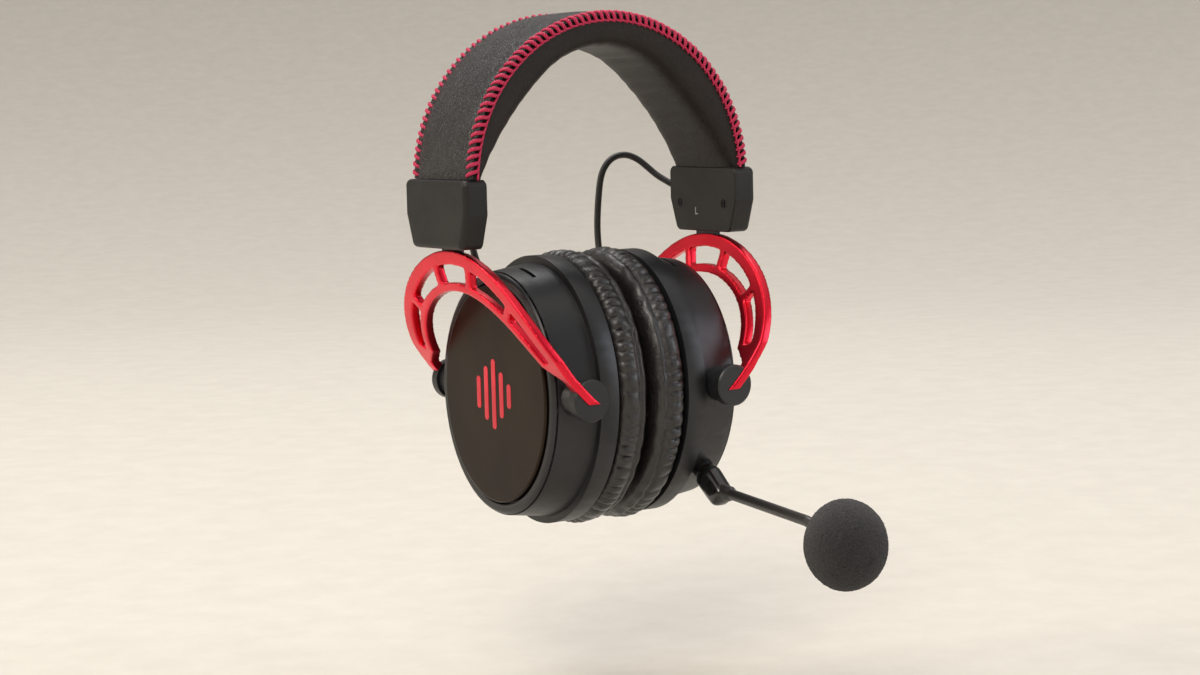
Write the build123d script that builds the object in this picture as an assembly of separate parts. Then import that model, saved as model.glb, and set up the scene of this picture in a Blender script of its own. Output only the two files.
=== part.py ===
from build123d import *
import math
import os

# Over-ear gaming headset, in millimetres.
# +X is the wearer's left, -Y the way the wearer faces, +Z up.
# The origin is the middle of the headband's underside, where a head or a hook carries it.
# Every side part is made for the wearer's left and mirrored in X for the right.

# ---- Headband ----
ARCH_R = 61.3            # outer radius of the half-round band
CROWN_Z = 12.6           # top of the band above the saddle
ARCH_Z = CROWN_Z - ARCH_R
BAND_HALF = 20.2         # half width of the band
COVER_T = 1.5
STITCH_LEG = 3.0         # how far a stitch reaches down the band's side
STITCH_PROUD = 0.5
SPRING_T = 0.8
SPRING_HALF = 8.0
SPRING_END_Z = -62.0
SLEEVE_T = 1.0
PAD_CROWN_R = 38.0       # underside of the pad: tight crown arc, flatter haunches
PAD_HAUNCH_R = 150.0
PAD_TURN = math.radians(42.0)
PAD_FLAT_HALF = 15.0     # half width of the pad's underside
PAD_SIDE_RISE = 2.5      # how far the pad's sides slope up to the band's full width

# ---- End caps, where the band takes the sliders ----
CAP_TOP = -46.3
CAP_BOTTOM = -71.2
CAP_TAPER_Z = -59.0
CAP_HALF_TOP = 21.2
CAP_HALF_BOTTOM = 17.0
CAP_INNER_X = 55.0
CAP_SPLIT_X = 56.2
CAP_OUTER_X = 64.7
CAP_WALL = 1.5
CAP_SCREW_Y = 14.0
CAP_SCREW_Z = -60.3
CAP_SCREW_R = 1.9
CAP_CABLE = Vector(60.0, 21.0, -55.4)
CAP_CABLE_DIR = Vector(-0.45, 0.78, 0.43).normalized()

# ---- Slider strip in its guide ----
STRIP_X = (57.0, 58.0)
STRIP_HALF = 7.0
STRIP_TOP = -38.5
STRIP_BOTTOM = -77.0
STRIP_GAP = 0.3
DETENT_PITCH = 3.25
DETENT_R = 0.8

# ---- Yoke, a bent plate with five windows ----
CUP_Z = -126.0           # centre of the ear cups
YOKE_R = 82.0            # bend radius of the plate's outer face
YOKE_BEND = (-22.0, CUP_Z + 60.0)
PRONG_TAPER = (16.0, 50.6)  # the prongs narrow from this far above the cup's centre, to this half width
YOKE_T = 3.4
YOKE_OUT = (53.5, 58.0, CUP_Z - 4.0)    # outline ellipse: half width, half height, centre
YOKE_IN = (41.5, 42.0, CUP_Z - 3.0)
RIM_OUT = 5.2
RIM_IN = 3.2
SPOKE_T = 3.2
SPOKE_ANGLES = (13.5, 44.0)
WINDOW_END = 71.0
CORNER_R = 0.8
THROAT = (38.3, 13.2, 8.4)  # where the prongs start and stop spreading, from the cup's centre
PIVOT = (31.6, CUP_Z + 1.0)
DISC_R = 7.65
DISC_Y = (45.9, 49.9)
PIN_R = 2.0
PIN_END_Y = 41.0
BOSS_R = 6.6
RUNNING = 0.05

# ---- Ear cup: every section is an oval, its width OVAL times its height ----
OVAL = 0.86
CUSHION_X = (1.5, 15.2)
CUSHION_R = 51.0
EAR_HALF = (24.0, 31.0)
FLANGE_X = (15.5, 23.2)
FLANGE_R = 50.0
WALL_R = (47.4, 45.2)    # wall height at the flange and at the outer end
END_X = 38.9
BEZEL_X = 40.9
PLATE_X = 41.9
PLATE_R = 40.3
BEZEL_GAP = 0.6
SHELL_T = 2.0
BAFFLE_T = 2.0
DRIVER_R = 25.0
POST = (28.5, 25.5)
SCREW_R = 1.1

# ---- Cable between cap and cup, microphone and jack ----
CABLE_R = 1.3
CUP_CABLE = Vector(28.0, 26.4, CUP_Z + 39.4)
CUP_CABLE_DIR = Vector(0.0, 0.664, 0.748).normalized()
JACK_R = 1.8
JACK_DEPTH = 14.0
JACK_AT = (31.0, 8.0)
MIC_AT = Vector(31.3, -29.0, CUP_Z - 32.0)
MIC_DIR = Vector(0.0, -0.776, -0.631).normalized()
PLUG_LENGTH = 15.5
PLUG_SIDE = 9.2
BOOM_R = 2.0
BOOM_START = Vector(31.0, -43.0, CUP_Z - 39.5)
BOOM_END = Vector(26.0, -96.0, CUP_Z - 42.5)
BOOM_DIR = (BOOM_END - BOOM_START).normalized()
BEND_AT = (17.0, 36.0)   # along the boom
BEND_GAP = 1.0
FOAM_AT = Vector(24.0, -121.3, CUP_Z - 47.7)
FOAM_HALF = (14.6, 16.0)
CAPSULE_R = 4.8
CAPSULE_LENGTH = 16.0

# Cable route on the left: from the cap, over a loop behind the ear, into the cup.
UPPER_ROUTE = [
    (59.1, 22.6, -54.54), (55.5, 28.8, -51.1), (52.0, 32.3, -46.6), (48.3, 34.0, -43.2),
    (43.3, 35.0, -41.4), (38.0, 35.6, -42.4), (34.0, 35.8, -46.0), (31.6, 35.6, -51.2),
    (30.7, 35.3, -57.0),
]
LOWER_ROUTE = [
    (30.7, 35.3, -57.0), (29.44, 34.88, -65.12), (28.8, 34.0, -73.5), (28.0, 31.8, -80.5),
    (28.0, 26.4, -86.6),
]

parts = {}


def section(face, x0, x1):
    """Extrude a face drawn in the YZ plane from x0 to x1."""
    return Pos(x0, 0, 0) * extrude(Plane.YZ * face, x1 - x0)


def oval(height, grow=0.0):
    """Oval of the cup's proportions, its half height given, grown evenly all round."""
    return Pos(0, CUP_Z) * Ellipse(OVAL * height + grow, height + grow)


def oval_block(height, x0, x1, grow=0.0):
    return section(oval(height, grow), x0, x1)


def oval_cone(x0, height0, x1, height1, grow=0.0):
    """Ruled body between two ovals."""
    near = Pos(x0, 0, 0) * (Plane.YZ * oval(height0, grow))
    far = Pos(x1, 0, 0) * (Plane.YZ * oval(height1, grow))
    return loft([near, far])


def rod(start, direction, length, radius):
    """Round rod from a point along a direction."""
    return Plane(start, z_dir=direction) * Cylinder(
        radius, length, align=(Align.CENTER, Align.CENTER, Align.MIN))


def box_between(low, high):
    """Box from its lowest corner to its highest."""
    size = [b - a for a, b in zip(low, high)]
    centre = [(a + b) / 2 for a, b in zip(low, high)]
    return Pos(*centre) * Box(*size)


def mirrored(pieces):
    return [piece.mirror(Plane.YZ) for piece in pieces]


def add_pair(name, body):
    """Keep a left part, or a list of solids, and its mirror image on the right."""
    pieces = body if isinstance(body, list) else [body]
    parts["left_" + name] = Compound(children=pieces) if len(pieces) > 1 else pieces[0]
    pieces = mirrored(pieces)
    parts["right_" + name] = Compound(children=pieces) if len(pieces) > 1 else pieces[0]


# ---- Headband -------------------------------------------------------------------------

def arch_layer(outer, inner, half_width, bottom):
    """Curved strip between two radii, on straight legs down to a height."""
    def region(radius):
        dome = Pos(0, ARCH_Z) * Circle(radius)
        legs = Pos(0, ARCH_Z - 50) * Rectangle(2 * radius, 100)
        return dome + legs
    strip = extrude(Plane.XZ * (region(outer) - region(inner)), half_width, both=True)
    return strip & box_between((-100, -50, bottom), (100, 50, 50))


def pad_face(depth, top_radius, y):
    """Pad seen from the front, its underside moved depth into the pad."""
    crown = PAD_CROWN_R + depth
    haunch = PAD_HAUNCH_R + depth
    centre_z = -PAD_CROWN_R
    turn_x = (PAD_CROWN_R - PAD_HAUNCH_R) * math.sin(PAD_TURN)
    turn_z = centre_z + (PAD_CROWN_R - PAD_HAUNCH_R) * math.cos(PAD_TURN)
    end_turn = math.acos((CAP_TOP - turn_z) / haunch)
    middle = (PAD_TURN + end_turn) / 2

    def on_haunch(angle):
        return (turn_x + haunch * math.sin(angle), turn_z + haunch * math.cos(angle))

    joint, bulge, foot = on_haunch(PAD_TURN), on_haunch(middle), on_haunch(end_turn)
    top_foot = (math.sqrt(top_radius ** 2 - (CAP_TOP - ARCH_Z) ** 2), CAP_TOP)

    def other(point):
        return (-point[0], point[1])

    outline = [
        ThreePointArc(top_foot, (0, ARCH_Z + top_radius), other(top_foot)),
        Line(other(top_foot), other(foot)),
        ThreePointArc(other(foot), other(bulge), other(joint)),
        ThreePointArc(other(joint), (0, centre_z + crown), joint),
        ThreePointArc(joint, bulge, foot),
        Line(foot, top_foot),
    ]
    return Plane((0, y, 0), x_dir=(1, 0, 0), z_dir=(0, -1, 0)) * make_face(outline)


def pad_body(shrink):
    """Pad with a flat underside and sides that slope up to the band's full width."""
    top_radius = ARCH_R - COVER_T
    flat = PAD_FLAT_HALF - shrink
    full = BAND_HALF - shrink
    body = extrude(pad_face(shrink, top_radius, 0), flat, both=True)
    for side in (-1, 1):
        body += loft([pad_face(shrink, top_radius, side * flat),
                      pad_face(shrink + PAD_SIDE_RISE, top_radius, side * full)])
    return body


def make_headband():
    cover_inner = ARCH_R - COVER_T
    cover = arch_layer(ARCH_R, cover_inner, BAND_HALF, CAP_TOP)
    spring = arch_layer(cover_inner, cover_inner - SPRING_T, SPRING_HALF, SPRING_END_Z)
    foam = pad_body(SLEEVE_T)
    sleeve = pad_body(0) - foam
    for side in (-1, 1):
        low_x, high_x = sorted((side * (STRIP_X[0] - STRIP_GAP), side * (STRIP_X[1] + STRIP_GAP)))
        foam -= box_between((low_x, -STRIP_HALF - STRIP_GAP, CAP_TOP),
                            (high_x, STRIP_HALF + STRIP_GAP, STRIP_TOP + 0.5))
    stitched = BAND_HALF + STITCH_PROUD
    seams = arch_layer(ARCH_R, ARCH_R - STITCH_LEG, stitched, CAP_TOP)
    seams -= box_between((-100, -BAND_HALF, CAP_TOP - 1), (100, BAND_HALF, CROWN_Z + 1))
    parts["edge_stitching"] = Compound(children=seams.solids())
    parts["headband_cover"] = cover
    parts["headband_spring"] = spring
    parts["headband_foam"] = foam - spring
    parts["headband_sleeve"] = sleeve - spring


# ---- End caps -------------------------------------------------------------------------

def cap_face(inset, corner):
    """Cap outline: straight sides, then a taper to a narrower foot."""
    top, foot = CAP_HALF_TOP - inset, CAP_HALF_BOTTOM - inset
    outline = Polygon((-foot, CAP_BOTTOM + inset), (foot, CAP_BOTTOM + inset),
                      (top, CAP_TAPER_Z), (top, CAP_TOP - inset),
                      (-top, CAP_TOP - inset), (-top, CAP_TAPER_Z), align=None)
    return fillet(outline.vertices(), corner)


def cap_screws():
    """Two countersunk screws that close the cap from the head's side."""
    screws = []
    for y in (-CAP_SCREW_Y, CAP_SCREW_Y):
        head = rod((CAP_INNER_X + 0.2, y, CAP_SCREW_Z), (1, 0, 0), 0.8, CAP_SCREW_R)
        slot = box_between((CAP_INNER_X + 0.2, y - 1.3, CAP_SCREW_Z - 0.25),
                           (CAP_INNER_X + 0.5, y + 1.3, CAP_SCREW_Z + 0.25))
        cross = box_between((CAP_INNER_X + 0.2, y - 0.25, CAP_SCREW_Z - 1.3),
                            (CAP_INNER_X + 0.5, y + 0.25, CAP_SCREW_Z + 1.3))
        shank = rod((CAP_INNER_X + 1.0, y, CAP_SCREW_Z), (1, 0, 0), 5.0, 1.0)
        screws.append(head - slot - cross + shank)
    return screws


def make_caps():
    slot_half = STRIP_HALF + STRIP_GAP
    strip_way = box_between((STRIP_X[0] - STRIP_GAP, -slot_half, CAP_BOTTOM - 1),
                            (STRIP_X[1] + STRIP_GAP, slot_half, CAP_TOP + 1))
    screws = cap_screws()
    outer = section(cap_face(0, 2.5), CAP_SPLIT_X, CAP_OUTER_X)
    outer = fillet(outer.faces().sort_by(Axis.X)[-1].edges(), 2.0)
    outer -= section(cap_face(CAP_WALL, 1.5), CAP_SPLIT_X, CAP_OUTER_X - CAP_WALL)
    for y in (-CAP_SCREW_Y, CAP_SCREW_Y):
        outer += rod((CAP_SPLIT_X, y, CAP_SCREW_Z), (1, 0, 0), CAP_OUTER_X - 1 - CAP_SPLIT_X, 2.4)
    outer -= strip_way
    outer -= parts["headband_spring"]
    outer -= rod(CAP_CABLE - CAP_CABLE_DIR * 4, CAP_CABLE_DIR, 12, 2.0)
    inner = section(cap_face(0, 2.5), CAP_INNER_X, CAP_SPLIT_X)
    inner = chamfer(inner.faces().sort_by(Axis.X)[0].edges(), 0.5)
    for screw in screws:
        outer -= screw
    for y in (-CAP_SCREW_Y, CAP_SCREW_Y):
        inner -= rod((CAP_INNER_X, y, CAP_SCREW_Z), (1, 0, 0), 1.0, CAP_SCREW_R)
        inner -= rod((CAP_INNER_X, y, CAP_SCREW_Z), (1, 0, 0), 2.0, 1.0)

    guide = box_between((CAP_SPLIT_X + 0.1, -10.0, -68.5), (STRIP_X[1] + 1.0, 10.0, -50.0))
    guide -= box_between((CAP_SPLIT_X, -slot_half, -70.0), (STRIP_X[1] + STRIP_GAP, slot_half, -49.0))
    leaf = box_between((CAP_SPLIT_X, -3.0, -64.0), (CAP_SPLIT_X + 0.3, 3.0, -54.0))
    leaf += rod((CAP_SPLIT_X + 0.3, 0, -59.0), (1, 0, 0), 0.15, 0.7)
    grommet = rod(CAP_CABLE - CAP_CABLE_DIR * 1.5, CAP_CABLE_DIR, 3.5, 2.0)
    grommet -= rod(CAP_CABLE - CAP_CABLE_DIR * 1.5, CAP_CABLE_DIR, 1.5, CABLE_R)
    add_pair("cap_outer", outer)
    add_pair("cap_inner", inner)
    add_pair("cap_screws", screws)
    parts["slider_guides"] = Compound(children=[guide] + mirrored([guide]))
    parts["detent_leaves"] = Compound(children=[leaf] + mirrored([leaf]))
    add_pair("cap_grommet", grommet)


# ---- Yoke -----------------------------------------------------------------------------

def yoke_oval(ellipse, grow):
    width, height, centre = ellipse
    return Pos(0, centre) * Ellipse(width + grow, height + grow)


def spoke(angle):
    """Radial bar of the window ring, its angle counted from straight up."""
    bar = Pos(0, 50) * Rectangle(SPOKE_T, 100)
    return Pos(0, CUP_Z) * (Rot(0, 0, -angle) * bar)


def yoke_windows():
    """Five windows between the rims, parted by four spokes."""
    ring = yoke_oval(YOKE_OUT, -RIM_OUT) - yoke_oval(YOKE_IN, RIM_IN)
    reach = 100.0
    end = math.radians(WINDOW_END)
    fan = Polygon((0, CUP_Z), (reach * math.sin(end), CUP_Z + reach * math.cos(end)),
                  (reach, CUP_Z + reach), (-reach, CUP_Z + reach),
                  (-reach * math.sin(end), CUP_Z + reach * math.cos(end)), align=None)
    ring &= fan
    for angle in SPOKE_ANGLES:
        ring -= spoke(angle) + spoke(-angle)
    return ring.faces()


def make_yokes():
    bend_x, bend_z = YOKE_BEND
    shell = Circle(YOKE_R) - Circle(YOKE_R - YOKE_T)
    plate = extrude(Plane.XZ * (Pos(bend_x, bend_z) * shell), 60, both=True)
    plate &= box_between((0, -60, PIVOT[1] - 1.5), (70, 60, YOKE_OUT[2] + YOKE_OUT[1]))
    tip_clear = DISC_Y[0] + 0.3
    throat_y, throat_z, spread_z = THROAT[0], CUP_Z + THROAT[1], CUP_Z + THROAT[2]
    throat = Polygon((-tip_clear, CUP_Z - 20), (tip_clear, CUP_Z - 20), (tip_clear, spread_z),
                     (throat_y, throat_z), (-throat_y, throat_z), (-tip_clear, spread_z), align=None)
    taper_z, end_y = CUP_Z + PRONG_TAPER[0], PRONG_TAPER[1]
    full_y = YOKE_OUT[0] * math.sqrt(1 - ((taper_z - YOKE_OUT[2]) / YOKE_OUT[1]) ** 2)
    end_z = PIVOT[1] - 1.5
    outline = yoke_oval(YOKE_OUT, 0) - yoke_oval(YOKE_IN, 0) - throat
    for side in (-1, 1):
        outline -= Polygon((side * full_y, taper_z), (side * end_y, end_z), (side * end_y, end_z - 9),
                           (side * 70, end_z - 9), (side * 70, taper_z), align=None)
    yoke = plate & section(outline, 0, 70)
    for window in yoke_windows():
        yoke -= section(window, 0, 70)
    yoke = max(yoke.solids(), key=lambda solid: solid.volume)
    corners = [edge for edge in yoke.edges().filter_by(Axis.X)
               if abs(edge.center().Y) > 1 and edge.center().Z > CUP_Z + THROAT[1] + 1]
    yoke = fillet(corners, CORNER_R)

    strip = box_between((STRIP_X[0], -STRIP_HALF, STRIP_BOTTOM), (STRIP_X[1], STRIP_HALF, STRIP_TOP))
    yoke -= strip
    dimple_z = STRIP_TOP - 3.0
    while dimple_z > CAP_BOTTOM + 2.0:
        strip -= rod((STRIP_X[0] - 1, 0, dimple_z), (1, 0, 0), 3, DETENT_R)
        dimple_z -= DETENT_PITCH

    discs, pins = [], []
    for side in (-1, 1):
        disc = rod((PIVOT[0], side * DISC_Y[0], PIVOT[1]), (0, side, 0), DISC_Y[1] - DISC_Y[0], DISC_R)
        disc = chamfer(disc.edges().group_by(Axis.Y)[-1 if side > 0 else 0], 0.5)
        discs.append(disc - yoke)
        pins.append(rod((PIVOT[0], side * PIN_END_Y, PIVOT[1]), (0, side, 0),
                        DISC_Y[0] - PIN_END_Y, PIN_R))
    add_pair("yoke", yoke)
    add_pair("slider_strip", strip)
    add_pair("pivot_discs", discs)
    add_pair("pivot_pins", pins)


# ---- Ear cups -------------------------------------------------------------------------

def baffle_screws():
    """Four countersunk screws through the baffle into the housing's posts."""
    screws = []
    for y in (-POST[0], POST[0]):
        for z in (-POST[1], POST[1]):
            head = rod((FLANGE_X[0], y, CUP_Z + z), (1, 0, 0), 1.0, 2.1)
            shank = rod((FLANGE_X[0] + 1.0, y, CUP_Z + z), (1, 0, 0), 7.0, SCREW_R)
            screws.append(head + shank)
    return screws


def cup_housing():
    """Shell with a flange, a closed outer end, pivot bosses, screw posts and a vent slot."""
    wall_x = FLANGE_X[1] - 0.5
    outside = oval_cone(wall_x, WALL_R[0], END_X, WALL_R[1])
    outside += oval_block(FLANGE_R, *FLANGE_X)
    inside = oval_cone(FLANGE_X[0] - 1, WALL_R[0] - SHELL_T, END_X - SHELL_T, WALL_R[1] - SHELL_T)
    housing = outside
    for side in (-1, 1):
        boss = rod((PIVOT[0], side * 30, PIVOT[1]), (0, side, 0), DISC_Y[0] - 0.3 - 30, BOSS_R)
        housing += boss
    housing -= inside
    for side in (-1, 1):
        core = rod((PIVOT[0], side * 36, PIVOT[1]), (0, side, 0), DISC_Y[0] - 0.3 - 36, BOSS_R)
        housing += core & box_between((PIVOT[0] - 8, -60, PIVOT[1] - 8), (END_X - 1, 60, PIVOT[1] + 8))
        housing -= rod((PIVOT[0], side * (PIN_END_Y - 0.3), PIVOT[1]), (0, side, 0), 10, PIN_R + RUNNING)
    for y in (-POST[0], POST[0]):
        for z in (-POST[1], POST[1]):
            housing += rod((FLANGE_X[0] + BAFFLE_T, y, CUP_Z + z), (1, 0, 0),
                           END_X - 1 - FLANGE_X[0] - BAFFLE_T, 3.0)
    housing -= box_between((30.8, -14.0, CUP_Z + 38), (32.4, -4.0, CUP_Z + 50))
    return housing


def make_cups():
    screws = baffle_screws()
    housing = cup_housing()
    for screw in screws:
        housing -= screw
    housing -= rod(CUP_CABLE - CUP_CABLE_DIR * 7, CUP_CABLE_DIR, 12, 2.2)

    cushion = oval_block(CUSHION_R, *CUSHION_X)
    cushion = fillet(cushion.faces().sort_by(Axis.X)[0].edges(), 5.0)
    ear_hole = section(Pos(0, CUP_Z) * Ellipse(*EAR_HALF), CUSHION_X[0] - 1, CUSHION_X[1] + 1)

    plate = oval_block(PLATE_R, END_X, PLATE_X)
    plate = fillet(plate.faces().sort_by(Axis.X)[-1].edges(), 0.8)
    bezel = oval_block(WALL_R[1] - 0.3, END_X, BEZEL_X) - oval_block(PLATE_R, END_X, PLATE_X, BEZEL_GAP)
    bezel = chamfer(bezel.faces().sort_by(Axis.X)[-1].outer_wire().edges(), 1.2)

    baffle = oval_block(WALL_R[0] - SHELL_T - 0.4, FLANGE_X[0], FLANGE_X[0] + BAFFLE_T)
    baffle -= rod((FLANGE_X[0] - 1, 0, CUP_Z), (1, 0, 0), 4, DRIVER_R - 3)
    for screw in screws:
        baffle -= screw
    back_x = FLANGE_X[0] + BAFFLE_T
    basket = rod((back_x, 0, CUP_Z), (1, 0, 0), 4.5, DRIVER_R)
    basket -= rod((back_x, 0, CUP_Z), (1, 0, 0), 3.0, DRIVER_R - 1.5)
    magnet = rod((back_x + 4.5, 0, CUP_Z), (1, 0, 0), 6.0, 12.0)
    cone = rod((back_x + 0.8, 0, CUP_Z), (1, 0, 0), 0.3, DRIVER_R - 1.5)
    cone += rod((back_x + 1.1, 0, CUP_Z), (1, 0, 0), 1.2, 8.0)
    scrim = section(Pos(0, CUP_Z) * Ellipse(EAR_HALF[0] - 0.2, EAR_HALF[1] - 0.2), 14.8, 15.3)

    grommet = rod(CUP_CABLE - CUP_CABLE_DIR * 5.5, CUP_CABLE_DIR, 5.5, 2.2)
    add_pair("cup_plate", plate)
    add_pair("cup_bezel", bezel)
    add_pair("ear_cushion", cushion - ear_hole)
    add_pair("scrim", scrim)
    add_pair("baffle", baffle)
    add_pair("baffle_screws", screws)
    add_pair("driver_basket", basket)
    add_pair("driver_magnet", magnet)
    add_pair("driver_cone", cone)
    add_pair("cup_grommet", grommet)
    add_pair("cup_housing", housing)


# ---- Left cup only: microphone socket, cable jack, circuit board -------------------------

def make_left_fittings():
    inside = 10.0
    socket = rod(MIC_AT - MIC_DIR * inside, MIC_DIR, inside + 1.6, 4.0)
    parts["left_cup_housing"] -= socket
    parts["mic_socket"] = socket - rod(MIC_AT - MIC_DIR * (inside - 1), MIC_DIR, inside + 1, JACK_R)

    jack_x, jack_y = JACK_AT
    jack_z = CUP_Z - 46.9
    jack = rod((jack_x, jack_y, jack_z), (0, 0, 1), JACK_DEPTH + 2.0, 3.8)
    parts["left_cup_housing"] -= jack
    parts["cable_jack"] = jack - rod((jack_x, jack_y, jack_z), (0, 0, 1), JACK_DEPTH, JACK_R)
    parts["circuit_board"] = box_between((33.0, -12.0, CUP_Z - 24.0), (34.4, 12.0, CUP_Z + 6.0))


# ---- Microphone ------------------------------------------------------------------------

def boom_length(start, end):
    """Stretch of the boom's rod, its ends given along the boom, with rounded rims."""
    body = rod(BOOM_START + BOOM_DIR * start, BOOM_DIR, end - start, BOOM_R)
    return fillet(body.edges().filter_by(GeomType.CIRCLE), 0.8)


def make_microphone():
    face = 1.9
    plug_plane = Plane(MIC_AT + MIC_DIR * face, x_dir=(1, 0, 0), z_dir=MIC_DIR)
    plug = plug_plane * Box(PLUG_SIDE, PLUG_SIDE, PLUG_LENGTH, align=(Align.CENTER, Align.CENTER, Align.MIN))
    plug = fillet(plug.edges(), 1.6)
    pin = rod(MIC_AT - MIC_DIR * 8.0, MIC_DIR, 8.0 + face, JACK_R - RUNNING)
    reach = (BOOM_END - BOOM_START).length
    base = rod(BOOM_START - BOOM_DIR * 4.0, BOOM_DIR, 4.0 + 4.0, BOOM_R + 0.7)
    base += rod(BOOM_START, BOOM_DIR, BEND_AT[0] - BEND_GAP / 2, BOOM_R)
    plug -= base
    capsule_start = FOAM_AT - BOOM_DIR * (CAPSULE_LENGTH / 2)
    tip_start = BEND_AT[1] + BEND_GAP / 2
    tip_end = reach + 3.0
    tip = boom_length(tip_start, tip_end)
    neck_from = BOOM_START + BOOM_DIR * (tip_end - 1.0)
    neck_to = capsule_start + (capsule_start - neck_from).normalized()
    neck_dir = (neck_to - neck_from).normalized()
    tip += rod(neck_from, neck_dir, (neck_to - neck_from).length, BOOM_R)

    shell = rod(capsule_start, neck_dir, CAPSULE_LENGTH, CAPSULE_R)
    shell = fillet(shell.edges().filter_by(GeomType.CIRCLE), 1.0) - tip
    cavity = rod(capsule_start + neck_dir * 6.0, neck_dir, CAPSULE_LENGTH, CAPSULE_R - 1.2)
    capsule = rod(capsule_start + neck_dir * 6.0, neck_dir, CAPSULE_LENGTH - 7.0, CAPSULE_R - 1.2)

    width, height = FOAM_HALF
    half = make_face([ThreePointArc((0, -height), (width * math.sqrt(0.5), 0 - height * math.sqrt(0.5)),
                                    (width, 0)),
                      ThreePointArc((width, 0), (width * math.sqrt(0.5), height * math.sqrt(0.5)),
                                    (0, height)),
                      Line((0, height), (0, -height))])
    foam = Pos(*FOAM_AT) * revolve(Plane.XZ * half, Axis.Z)
    room = rod(capsule_start - neck_dir * 30, neck_dir, 30 + CAPSULE_LENGTH + 0.3, CAPSULE_R + 0.3)

    parts["mic_plug"] = plug
    parts["mic_plug_pin"] = pin
    parts["boom_base"] = base
    parts["boom_middle"] = boom_length(BEND_AT[0] + BEND_GAP / 2, BEND_AT[1] - BEND_GAP / 2)
    parts["boom_tip"] = tip
    parts["capsule_housing"] = shell - cavity
    parts["mic_capsule"] = capsule
    parts["windscreen"] = foam - room
    print("boom direction", BOOM_DIR, "neck direction", neck_dir, "capsule from", capsule_start)


# ---- Cables ----------------------------------------------------------------------------

def cable_tube(route):
    """Round cable along straight runs joined by the largest tangent arcs that fit them."""
    points = [Vector(*point) for point in route]
    radii = []
    for before, here, after in zip(points, points[1:], points[2:]):
        turn = math.radians((here - before).get_angle(after - here))
        shorter = min((here - before).length, (after - here).length)
        radii.append(0.45 * shorter / math.tan(turn / 2))
    path = FilletPolyline(*points, radius=radii)
    disc = Plane(path @ 0, z_dir=path % 0) * Circle(CABLE_R)
    tube = sweep(disc, path=path)
    expected = math.pi * CABLE_R ** 2 * path.length
    print("cable: length %.1f, radii %s, volume ratio %.4f"
          % (path.length, [round(radius, 1) for radius in radii], tube.volume / expected))
    return tube


make_headband()
make_caps()
make_yokes()
make_cups()
make_left_fittings()
make_microphone()
add_pair("cable_upper", cable_tube(UPPER_ROUTE))
add_pair("cable_lower", cable_tube(LOWER_ROUTE))

os.makedirs("parts", exist_ok=True)
for name, body in parts.items():
    export_step(body, os.path.join("parts", name + ".step"))
print(len(parts), "nodes")
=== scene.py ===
# %% [markdown]
# # A gaming headset, dressed for its portrait
#
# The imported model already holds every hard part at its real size: caps, yokes, cups, screws, the
# microphone's parts. Blender's work is what solid modelling does badly: leather, foam, thread and
# cable, and the finish of every surface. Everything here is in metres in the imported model's frame:
# +X is the wearer's left, -Y the way the wearer faces, +Z up, and the origin is the middle of the
# headband's underside.

# %% Load the frame
import math

import bmesh
import bpy
import numpy as np
from mathutils import Matrix, Vector


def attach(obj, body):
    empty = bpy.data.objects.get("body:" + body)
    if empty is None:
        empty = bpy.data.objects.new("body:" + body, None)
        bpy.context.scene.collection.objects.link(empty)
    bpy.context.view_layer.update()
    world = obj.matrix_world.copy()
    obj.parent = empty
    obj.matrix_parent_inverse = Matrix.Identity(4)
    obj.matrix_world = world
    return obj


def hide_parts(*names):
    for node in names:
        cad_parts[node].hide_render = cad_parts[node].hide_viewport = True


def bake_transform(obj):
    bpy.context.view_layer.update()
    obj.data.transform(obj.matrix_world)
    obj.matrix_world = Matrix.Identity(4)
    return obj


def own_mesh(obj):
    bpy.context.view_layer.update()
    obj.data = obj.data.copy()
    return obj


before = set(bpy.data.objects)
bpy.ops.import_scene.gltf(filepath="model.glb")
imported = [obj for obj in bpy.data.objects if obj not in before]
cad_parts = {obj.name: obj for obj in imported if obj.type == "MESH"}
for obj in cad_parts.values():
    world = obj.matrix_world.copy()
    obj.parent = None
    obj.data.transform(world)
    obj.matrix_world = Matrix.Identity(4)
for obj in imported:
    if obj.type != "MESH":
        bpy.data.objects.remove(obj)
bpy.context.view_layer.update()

MM = 0.001
SIDES = {"left": 1.0, "right": -1.0}
scene = bpy.context.scene

# %% [markdown]
# ## Camera and floor
#
# A product portrait is shot with a long lens from about a metre away, so that the near cup doesn't
# swell. The camera looks at a point inside the headset; its direction, tilt and roll are three
# numbers, and a matrix of its own right, up and back arrows places it exactly. The headset hangs, as
# it would from a hook, above a plain pale floor that bends up into a backdrop far behind it.

# %% Camera
aim = Vector((5.78, 0.0, -108.78)) * MM
back = Vector((-0.5562, -0.8249, 0.1011)).normalized()
roll = math.radians(-1.48)
distance = 0.96301
right = (-back).cross(Vector((0, 0, 1))).normalized()
up = right.cross(-back)
camera_x = math.cos(roll) * right + math.sin(roll) * up
camera_y = math.cos(roll) * up - math.sin(roll) * right
lens = bpy.data.cameras.new("portrait")
lens.lens = 76.53
lens.sensor_width = 36.0
lens.clip_start, lens.clip_end = 0.05, 30.0
camera = bpy.data.objects.new("portrait", lens)
scene.collection.objects.link(camera)
camera.matrix_world = Matrix.Translation(aim + back * distance) @ Matrix(
    (camera_x, camera_y, back)).transposed().to_4x4()
scene.camera = camera
print("camera at, m:", [round(x, 4) for x in camera.matrix_world.translation])

# %% [markdown]
# ## Surfaces from grids
#
# Nearly every soft piece here is one idea: a grid of points worked out by a formula in two
# parameters, joined by quads. One function turns such a grid into a closed mesh. It can close either
# way round, put a fan over an open first or last row, repeat for many copies at once, and turn the
# faces outwards by the sign of the volume they enclose. Its UV map holds real millimetres, so
# patterns that follow a thread or cable can be given at their true size.

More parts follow.
